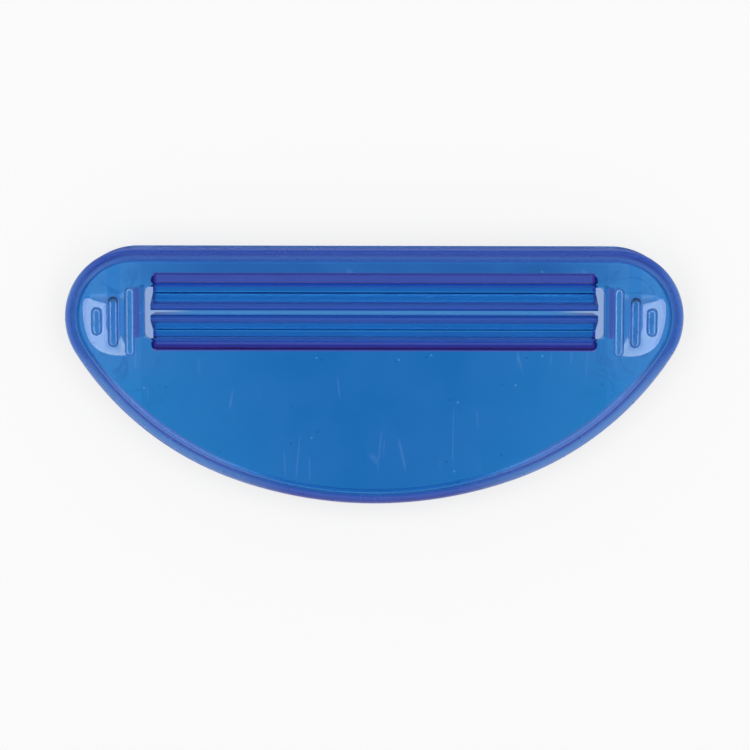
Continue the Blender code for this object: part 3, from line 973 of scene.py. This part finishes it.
def paint_light_and_shade_over_jaws(nodes, blue):
    """The face's strips: painted light beside the jaws' outer walls, painted violet shade over them, and
    painted shade past them.
    """
    jaw_long = nodes.fade(nodes.along, *JAW_LONG_ALONG)
    beside = nodes.between(nodes.from_slot, BY_WALL_START, OVER_WALL_START, SOFT_EDGE)
    blue = nodes.mix(nodes.times(beside, jaw_long), blue, FACE_PAINTED_LIGHT_BY_WALL)
    tone = nodes.mix(nodes.fade(nodes.across, *LOW_WALL_ACROSS), FACE_PAINTED_SHADE_OVER_WALL, FACE_PAINTED_SHADE_OVER_LOW_WALL)
    tone = nodes.mix(nodes.fade(nodes.along, *WALL_END_ALONG), tone, FACE_PAINTED_SHADE_OVER_WALL_END)
    over = nodes.between(nodes.from_slot, OVER_WALL_START, JAW_REACH, SOFT_EDGE)
    blue = nodes.mix(nodes.times(over, jaw_long), blue, tone)
    past = nodes.between(nodes.from_slot, JAW_REACH, PAST_WALL_END, PAST_WALL_SOFT_EDGE)
    past = nodes.times(past, jaw_long, nodes.fade(nodes.across, *UPPER_HALF_ACROSS))
    return nodes.mix(past, blue, FACE_PAINTED_SHADE_PAST_WALL)


def paint_shade_over_ends(nodes, blue):
    """Painted violet shade on the face's strips over the walls outside the window's short ends."""
    start = WINDOW_END + END_RETURN_SETBACK
    over = nodes.between(nodes.along, start, start + END_RETURN_WALL, OVER_END_SOFT_EDGE)
    over = nodes.times(over, nodes.fade(nodes.from_slot, *OVER_END_FROM_SLOT))
    return nodes.mix(over, blue, FACE_PAINTED_SHADE_OVER_END)


def paint_light_and_shade_on_walls(nodes, blue, steep):
    """Steep faces: painted violet shade, and painted light below the face between the jaws' ends and the
    first ribs.
    """
    below = nodes.fade(nodes.height, *BELOW_FACE_HEIGHT)
    by_end = nodes.times(below, nodes.between(nodes.along, JAW_END, END_WALL_SIDE_LIMIT, SOFT_EDGE))
    return nodes.mix(steep, blue, nodes.mix(by_end, FACE_PAINTED_SHADE_VIOLET, END_WALL_SIDE_PAINTED_LIGHT))


def rib_shares(nodes):
    """Where the ribs' rounded edges are, and where their walls are."""
    beside = nodes.between(nodes.along, RIBS_START, RIBS_END, SOFT_EDGE)
    by_ribs = nodes.times(beside, nodes.fade(nodes.height, *RIBS_HEIGHT))
    rib_edge = nodes.times(by_ribs, nodes.fade(nodes.up, *RIB_EDGE_UP))
    rib_wall = nodes.times(by_ribs, nodes.fade(nodes.up, *RIB_WALL_UP))
    return rib_edge, rib_wall


def rim_painted_light_and_shade(nodes, edge, blue):
    """Painted light and shade along the rounded edge: dark lines, pale fringes and highlights, which differ
    from one side of the outline to the next.
    """
    straight = nodes.bands(edge, TOP_RIM_LIGHT_AND_SHADE)
    side = nodes.bands(edge, SIDE_RIM_LIGHT_AND_SHADE)
    curved = nodes.bands(edge, CURVED_RIM_LIGHT_AND_SHADE)
    bottom = nodes.bands(edge, BOTTOM_RIM_LIGHT_AND_SHADE)
    upper = nodes.mix(nodes.fade(nodes.across, *SIDE_RIM_ACROSS), straight, side)
    down = nodes.fade(nodes.across, *CURVED_RIM_ACROSS)
    middle = nodes.fade(nodes.along, *BOTTOM_RIM_ALONG)
    middle = nodes.times(middle, nodes.fade(nodes.across, *BOTTOM_RIM_ACROSS))
    colour = nodes.mix(middle, nodes.mix(down, upper, curved), bottom)
    more = nodes.times(nodes.without(down, middle), CURVED_RIM_MORE)
    inner_end = nodes.math("ADD", more, RIM_REACH)
    near = nodes.math("SUBTRACT", inner_end, edge)
    return nodes.mix(nodes.fade(near, 0.0, RIM_INNER_FADE), blue, colour)


def skirt_blue_and_painted_light_and_shade(nodes, colour, edge, outer, steep):
    """Painted light on the skirt's inside and rear rim, painted light and shade along the rounded edge, and
    the skirt's own blue outside.
    """
    inner = nodes.without(nodes.fade(edge, *RIM_INSIDE_FROM_EDGE), outer)
    rear = nodes.fade(nodes.height, *REAR_RIM_HEIGHT)
    colour = nodes.mix(nodes.times(inner, nodes.either(steep, rear)), colour, RIM_INSIDE_PAINTED_LIGHT)
    on_edge = nodes.times(outer, nodes.fade(nodes.height, *ROUNDED_EDGE_HEIGHT))
    colour = nodes.mix(on_edge, colour, rim_painted_light_and_shade(nodes, edge, colour))
    return nodes.mix(nodes.without(outer, on_edge), colour, SKIRT_BLUE)


def face_haze(nodes, edge, outer, rib_edge):
    """Less gloss along the rim and on the ribs' edges, and a little less in the thumb rests."""
    rim = nodes.fade(edge, *RIM_HAZE_FROM_EDGE)
    inside = nodes.without(nodes.fade(edge, *INSIDE_HAZE_FROM_EDGE), outer)
    haze = nodes.times(nodes.either(rim, inside, rib_edge), RIM_HAZE)
    in_dish = nodes.times(
        nodes.fade(nodes.height, *DISH_HEIGHT),
        nodes.fade(nodes.along, *DISH_ALONG),
        nodes.fade(nodes.up, *DISH_UP),
    )
    return nodes.either(haze, nodes.times(in_dish, DISH_HAZE))


def face_matt(nodes, edge, rib_edge):
    """A damped mirror along the rim, at the window's edge, on the ribs' edges and at one rib's end."""
    rim = nodes.fade(edge, *RIM_MATT_FROM_EDGE)
    window = nodes.times(nodes.fade(nodes.up, *WINDOW_EDGE_UP), nodes.fade(nodes.along, *WINDOW_EDGE_ALONG))
    rib_end = nodes.times(
        nodes.between(
            nodes.along, MIDDLE_RIB_X - RIB_END_HALF_WIDTH, MIDDLE_RIB_X + RIB_END_HALF_WIDTH, SOFT_EDGE
        ),
        nodes.fade(nodes.across, *RIB_END_ACROSS),
    )
    return nodes.either(rim, window, nodes.times(rib_edge, RIB_EDGE_MATT), rib_end)


def face_plastic():
    """The shell's plastic: blue, with painted violet shade in its walls and over the jaws' outer walls, and
    painted light and shade along the rim and on the ribs.
    """
    nodes = Surface("face_plastic")
    edge = edge_distance(nodes)
    steep = nodes.fade(nodes.up_or_down, *STEEP_UP)
    outer = nodes.fade(nodes.up, *OUTWARD_UP)
    rib_edge, rib_wall = rib_shares(nodes)
    colour = marks(nodes, face_tones(nodes), edge)
    colour = paint_light_and_shade_over_jaws(nodes, colour)
    colour = paint_shade_over_ends(nodes, colour)
    colour = paint_light_and_shade_on_walls(nodes, colour, steep)
    # Painted shade on the ribs' rounded edges and painted light on their walls
    colour = nodes.mix(rib_edge, colour, RIB_EDGE_PAINTED_SHADE)
    colour = nodes.mix(rib_wall, colour, RIB_WALL_PAINTED_LIGHT)
    colour = skirt_blue_and_painted_light_and_shade(nodes, colour, edge, outer, steep)
    haze = face_haze(nodes, edge, outer, rib_edge)
    matt = face_matt(nodes, edge, rib_edge)
    plastic_shader(nodes, colour, haze, matt, nodes.fade(edge, *WAVES_FROM_EDGE))
    return nodes.material


def jaw_blue_with_painted_light_and_shade(nodes, steep):
    """Blue in the valley, with painted light on the outer wall, the flank and underneath, and painted
    violet shade on other steep faces.
    """
    cloud = nodes.fade(nodes.noise(JAW_CLOUD_SCALE, CLOUD_DETAIL), *CLOUD_FADE)
    blue = nodes.mix(cloud, JAW_BLUE, JAW_CLOUD)
    top = nodes.times(nodes.fade(nodes.height, *JAW_TOP_HEIGHT), nodes.fade(nodes.up, *JAW_TOP_UP))
    colour = nodes.mix(top, blue, JAW_TOP_PAINTED_LIGHT)
    wall = nodes.fade(nodes.from_slot, *JAW_WALL_FROM_SLOT)
    colour = nodes.mix(steep, colour, nodes.mix(wall, JAW_PAINTED_SHADE_VIOLET, JAW_WALL_PAINTED_LIGHT))
    slope = nodes.without(steep, wall)
    colour = nodes.mix(nodes.times(nodes.fade(nodes.up, *JAW_BENEATH_UP), slope), colour, JAW_BENEATH_PAINTED_LIGHT)
    return nodes.mix(nodes.times(nodes.fade(nodes.up, *JAW_FLANK_UP), slope), colour, JAW_FLANK_PAINTED_LIGHT)


def paint_light_and_shade_on_lips(nodes, colour, lip):
    """Painted violet shade on the lips beside the slot, darker at their edges, painted shade on the jaws'
    ends, and a painted light strip in the fillet at each lip's foot.
    """
    middle = nodes.between(nodes.from_slot, LIP_MIDDLE_START, LIP_MIDDLE_END, SOFT_EDGE)
    colour = nodes.mix(lip, colour, nodes.mix(middle, LIP_EDGE_PAINTED_SHADE, LIP_PAINTED_SHADE_VIOLET))
    tip = nodes.without(nodes.fade(nodes.along, *JAW_TIP_ALONG), lip)
    colour = nodes.mix(tip, colour, JAW_TIP_PAINTED_SHADE)
    fillet = nodes.between(nodes.from_slot, FILLET_START, FILLET_END, FILLET_SOFT_EDGE)
    return nodes.mix(nodes.times(fillet, FILLET_SHARE), colour, JAW_FILLET_PAINTED_LIGHT)


def jaw_plastic():
    """The jaws' plastic. Its mirror is damped at the lips, on curved surfaces and in the valley."""
    nodes = Surface("jaw_plastic")
    steep = nodes.fade(nodes.up_or_down, *STEEP_UP)
    lip = nodes.fade(nodes.from_slot, *LIP_FROM_SLOT)
    colour = paint_light_and_shade_on_lips(nodes, jaw_blue_with_painted_light_and_shade(nodes, steep), lip)
    curved = nodes.fade(nodes.up_or_down, *LIP_CURVED_UP)
    matt = nodes.either(lip, curved)
    valley = nodes.fade(nodes.height, *VALLEY_HEIGHT)
    plastic_shader(nodes, colour, nodes.times(matt, LIP_HAZE), nodes.either(matt, valley), 1.0)
    return nodes.material


def table_surface():
    """White, with painted blue light under the window, and a painted deep blue shade beside the object in
    mirror images only.
    """
    nodes = Surface("white_table")
    path = nodes.add("ShaderNodeLightPath").outputs
    bent = nodes.math("MINIMUM", path["Transmission Depth"], 1.0)
    mirrored = nodes.without(path["Is Glossy Ray"], bent)
    straight = nodes.either(path["Is Camera Ray"], mirrored)
    # Painted light: under the window the table shows blue light, as if passed through the plastic
    under = nodes.fade(nodes.along, *UNDER_WINDOW_ALONG)
    under = nodes.times(under, nodes.fade(nodes.from_slot, *UNDER_WINDOW_FROM_SLOT), straight)
    # Painted shade: beside the object, mirror images show the table deep blue
    from_middle = nodes.math("ABSOLUTE", nodes.across)
    beside = nodes.fade(nodes.along, *BESIDE_ALONG)
    beside = nodes.times(beside, nodes.fade(from_middle, *BESIDE_ACROSS), mirrored)
    passed = nodes.mix(mirrored, TABLE_PAINTED_LIGHT_UNDER_SLOT, TABLE_PAINTED_LIGHT_MIRRORED_UNDER_SLOT)
    passed = nodes.mix(nodes.fade(nodes.along, *UNDER_ENDS_ALONG), passed, TABLE_PAINTED_LIGHT_UNDER_ENDS)
    shown = nodes.mix(beside, nodes.mix(bent, TABLE_GLOW, WHITE), TABLE_PAINTED_SHADE_MIRRORED_BESIDE)
    shown = nodes.mix(under, shown, passed)
    paper = nodes.add("ShaderNodeBsdfDiffuse", {"Color": TABLE_PAPER})
    glow = nodes.add("ShaderNodeEmission", {"Color": shown, "Strength": 1.0})
    share = nodes.either(nodes.times(straight, TABLE_GLOW_SHARE), bent, under, beside)
    mixed = nodes.add("ShaderNodeMixShader", {0: share, 1: paper.outputs[0], 2: glow.outputs[0]})
    nodes.add("ShaderNodeOutputMaterial", {"Surface": mixed.outputs[0]})
    return nodes.material


def make_table():
    mesh = bmesh.new()
    half = TABLE_HALF
    corners = ((-half, -half), (half, -half), (half, half), (-half, half))
    mesh.faces.new([mesh.verts.new((x, y, -TABLE_DROP)) for x, y in corners])
    table = to_object("table_top", mesh)
    table.data.materials.append(table_surface())
    table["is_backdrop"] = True


def make_world():
    """Soft studio light: pale towards the horizon, dim overhead where the camera stands."""
    world = bpy.data.worlds.new("studio")
    bpy.context.scene.world = world
    world.use_nodes = True
    nodes = Nodes(world.node_tree)
    direction = nodes.add("ShaderNodeTexCoord").outputs["Generated"]
    up = nodes.add("ShaderNodeSeparateXYZ", {"Vector": direction}).outputs["Z"]
    sky = nodes.mix(nodes.fade(up, *SKY_DIM_UP), SKY_PALE, SKY_DIM)
    seen = nodes.add("ShaderNodeLightPath").outputs["Is Camera Ray"]
    lit = nodes.add("ShaderNodeBackground", {"Color": sky, "Strength": 1.0})
    white = nodes.add("ShaderNodeBackground", {"Color": WHITE, "Strength": 1.0})
    mixed = nodes.add("ShaderNodeMixShader", {0: seen, 1: lit.outputs[0], 2: white.outputs[0]})
    nodes.add("ShaderNodeOutputWorld", {"Surface": mixed.outputs[0]})


def make_softbox(name, centre, size):
    """A soft lamp high up, facing straight down. The thumb rests reflect it and the flat face doesn't."""
    lamp = bpy.data.lights.new(name, "AREA")
    lamp.shape = "RECTANGLE"
    lamp.size, lamp.size_y = size
    lamp.energy = SOFTBOX_RADIANCE * math.pi * lamp.size * lamp.size_y
    obj = bpy.data.objects.new(name, lamp)
    bpy.context.scene.collection.objects.link(obj)
    obj.location = centre


def light_studio():
    for side in (-1, 1):
        centre = (side * SIDE_SOFTBOX_X, 0.0, SOFTBOX_HEIGHT)
        make_softbox("softbox_" + side_name(side), centre, SIDE_SOFTBOX_SIZE)
    make_softbox("softbox_top", (0.0, TOP_SOFTBOX_Y, SOFTBOX_HEIGHT), TOP_SOFTBOX_SIZE)


def make_camera():
    """Looks down on the face, at the photograph's angle, distance and framing."""
    data = bpy.data.cameras.new("camera")
    data.sensor_width = SENSOR_WIDTH
    data.sensor_fit = "HORIZONTAL"
    view_width = PHOTO_SIZE / PHOTO_PX_PER_MM * MM
    data.lens = SENSOR_WIDTH * CAMERA_DISTANCE / view_width
    data.clip_start = CAMERA_NEAREST
    data.clip_end = CAMERA_FARTHEST
    camera = bpy.data.objects.new("camera", data)
    bpy.context.scene.collection.objects.link(camera)
    target = Vector((0.0, 0.0, FACE_Z))
    tilt = Matrix.Rotation(-math.radians(CAMERA_TILT_DEGREES), 4, "X")
    roll = Matrix.Rotation(math.radians(CAMERA_ROLL_DEGREES), 4, "Z")
    back = Matrix.Translation((0.0, 0.0, CAMERA_DISTANCE))
    camera.matrix_world = Matrix.Translation(target) @ tilt @ roll @ back
    data.shift_x = (PHOTO_SIZE / 2 - PHOTO_CENTRE_PX[0]) / PHOTO_SIZE
    data.shift_y = (PHOTO_CENTRE_PX[1] - PHOTO_SIZE / 2) / PHOTO_SIZE
    bpy.context.scene.camera = camera


def main():
    bpy.context.scene.view_settings.view_transform = "Standard"
    make_camera()
    make_world()
    make_table()
    light_studio()
    jaws = jaw_plastic()
    make_face_shell(face_plastic())
    make_jaw("upper_jaw", 1, jaws)
    make_jaw("lower_jaw", -1, jaws)


main()
sizes = {"cad": cad_bounds, "visual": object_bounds()}
sizes = {name: [[float(v) for v in corner] for corner in box] for name, box in sizes.items()}
